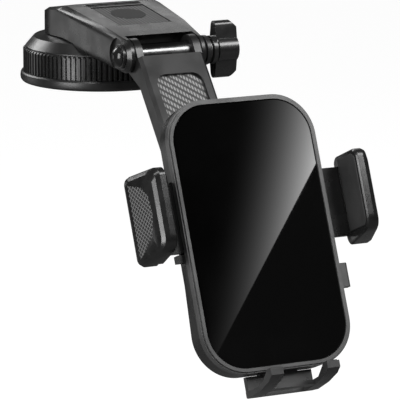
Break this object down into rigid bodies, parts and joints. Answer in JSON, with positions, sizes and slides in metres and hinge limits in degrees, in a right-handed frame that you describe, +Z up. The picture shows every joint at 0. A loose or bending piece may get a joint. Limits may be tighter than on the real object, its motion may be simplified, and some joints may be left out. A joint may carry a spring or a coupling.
{
  "type": "car phone mount",
  "caption": "Dashboard phone mount: suction base with lock lever, swivelling and folding arm, telescopic strut, ball joint and cradle with squeezing jaws and sliding foot.",
  "frame": {"origin": "centre of the suction cup's lower face", "axes": "+X along the arm's hinge axis, towards the wing knob; -Y towards the driver; +Z up, away from the dashboard"},
  "size_m": [0.1112, 0.2377, 0.1449],
  "materials": {
    "cup_rubber": "soft matt, slightly tacky sealing rubber",
    "core_plastic": "moulded",
    "ring_plastic": "satin, fine vertical ribs",
    "dome_plastic": "satin",
    "screw_steel": "plated",
    "washer_steel": "plain",
    "stud_steel": "turned",
    "lever_plastic": "satin",
    "arm_plastic": "fine satin texture",
    "top_weave": "fine woven texture with a plain oval",
    "cover_plastic": "satin",
    "bolt_black": "black oxide",
    "washer_black": "black oxide",
    "knob_plastic": "semi-gloss",
    "insert_brass": "knurled insert",
    "sleeve_plastic": "satin",
    "nylon_white": "natural nylon",
    "spacer_black": "black tube",
    "slide_plastic": "satin",
    "twill_strip": "diagonal twill pattern under a clear coat",
    "ring_rubber": "soft",
    "housing_plastic": "satin",
    "nut_plastic": "satin, ribbed",
    "frame_plastic": "satin",
    "panel_gloss": "high gloss",
    "gear_acetal": "natural acetal",
    "spring_steel": "spring strip",
    "jaw_plastic": "satin",
    "pad_rubber": "soft matt",
    "grip_rubber": "fine diamond mesh",
    "button_plastic": "semi-gloss",
    "foot_plastic": "satin"
  },
  "bodies": {
    "base": {"suction_cup": "cup_rubber", "cup_core": "core_plastic", "knurled_ring": "ring_plastic", "base_dome": "dome_plastic", "base_screws": "screw_steel", "keeper_washer": "washer_steel", "keeper_screws": "screw_steel"},
    "upper_arm": {"upper_arm": "arm_plastic", "top_panel": "top_weave", "arm_undercover": "cover_plastic", "undercover_screws": "screw_steel", "hinge_bolt": "bolt_black", "bolt_washer": "washer_black", "knob_washer": "washer_black", "spring_washer": "washer_steel"},
    "pull_stud": {"pull_stud": "stud_steel"},
    "lock_lever": {"lock_lever": "lever_plastic", "lever_pin": "stud_steel"},
    "wing_knob": {"wing_knob": "knob_plastic", "knob_insert": "insert_brass"},
    "lower_arm": {"lower_arm": "sleeve_plastic", "friction_washers": "nylon_white", "hinge_sleeve": "spacer_black", "arm_back_cover": "cover_plastic", "back_cover_screws": "screw_steel"},
    "inner_slide": {"inner_slide": "slide_plastic", "slide_panel": "twill_strip", "slide_glides": "nylon_white", "ball_stud": "stud_steel", "ball_screw": "screw_steel"},
    "ball_seat": {"ball_seat": "nylon_white"},
    "grip_ring": {"grip_ring": "ring_rubber"},
    "cradle": {"rear_housing": "housing_plastic", "front_frame": "frame_plastic", "front_panel": "panel_gloss", "housing_screws": "screw_steel", "gear_pin": "stud_steel", "return_spring": "spring_steel", "foot_detent": "spring_steel"},
    "collar_nut": {"collar_nut": "nut_plastic"},
    "drive_gear": {"drive_gear": "gear_acetal"},
    "right_jaw": {"right_jaw": "jaw_plastic", "right_pad": "pad_rubber", "right_grip": "grip_rubber"},
    "left_jaw": {"left_jaw": "jaw_plastic", "left_pad": "pad_rubber", "left_grip": "grip_rubber"},
    "release_button": {"release_button": "button_plastic"},
    "latch_pawl": {"latch_pawl": "gear_acetal"},
    "foot": {"foot_bracket": "foot_plastic", "foot_pads": "pad_rubber"}
  },
  "joints": [
    {"name": "base_swivel", "type": "hinge", "parent": "base", "child": "upper_arm", "pos_m": [0, 0, 0.024], "axis": [0, 0, 1], "continuous": true},
    {"name": "stud_slide", "type": "slide", "parent": "upper_arm", "child": "pull_stud", "axis": [0, 0, 1], "range_m": [-0.0016, 0]},
    {"name": "lever_lift", "type": "hinge", "parent": "pull_stud", "child": "lock_lever", "pos_m": [0, 0, 0.031], "axis": [1, 0, 0], "range_deg": [-0.1, 75.1]},
    {"name": "arm_pivot", "type": "hinge", "parent": "upper_arm", "child": "lower_arm", "pos_m": [0, -0.06287, 0.02073], "axis": [-1, 0, 0], "range_deg": [-45, 95]},
    {"name": "knob_turn", "type": "hinge", "parent": "upper_arm", "child": "wing_knob", "pos_m": [0, -0.06287, 0.02073], "axis": [1, 0, 0], "continuous": true},
    {"name": "arm_extend", "type": "slide", "parent": "lower_arm", "child": "inner_slide", "axis": [0, -0.6428, -0.766], "range_m": [0, 0.038]},
    {"name": "ball_tilt", "type": "hinge", "parent": "inner_slide", "child": "ball_seat", "pos_m": [0, -0.13928, -0.04998], "axis": [-1, 0, 0], "range_deg": [-4, 20]},
    {"name": "ball_pan", "type": "hinge", "parent": "ball_seat", "child": "grip_ring", "pos_m": [0, -0.13928, -0.04998], "axis": [0, 0.3891, 0.9212], "range_deg": [-14, 14]},
    {"name": "ball_roll", "type": "hinge", "parent": "grip_ring", "child": "cradle", "pos_m": [0, -0.13928, -0.04998], "axis": [0, -0.9212, 0.3891], "continuous": true},
    {"name": "nut_turn", "type": "hinge", "parent": "cradle", "child": "collar_nut", "pos_m": [0, -0.13928, -0.04998], "axis": [0, -0.9212, 0.3891], "continuous": true},
    {"name": "right_jaw_slide", "type": "slide", "parent": "cradle", "child": "right_jaw", "axis": [-1, 0, 0], "range_m": [0, 0.009]},
    {"name": "left_jaw_slide", "type": "slide", "parent": "cradle", "child": "left_jaw", "axis": [1, 0, 0], "range_m": [0, 0.009]},
    {"name": "gear_spin", "type": "hinge", "parent": "cradle", "child": "drive_gear", "pos_m": [0, -0.14909, -0.03466], "axis": [0, -0.9212, 0.3891], "range_deg": [0, 81]},
    {"name": "button_press", "type": "slide", "parent": "cradle", "child": "release_button", "axis": [-1, 0, 0], "range_m": [0, 0.002], "stiffness_N_per_m": 300, "springref_m": -0.0005},
    {"name": "pawl_drop", "type": "slide", "parent": "cradle", "child": "latch_pawl", "axis": [0, -0.3891, -0.9212], "range_m": [0, 0.00125]},
    {"name": "foot_slide", "type": "slide", "parent": "cradle", "child": "foot", "axis": [0, -0.3891, -0.9212], "range_m": [0, 0.018]}
  ],
  "couplings": [
    {"joint": "lever_lift", "follows": "stud_slide", "rad_per_m": -818.12},
    {"joint": "left_jaw_slide", "follows": "right_jaw_slide", "ratio": 1},
    {"joint": "gear_spin", "follows": "right_jaw_slide", "rad_per_m": 156.25},
    {"joint": "pawl_drop", "follows": "button_press", "ratio": 0.6}
  ]
}
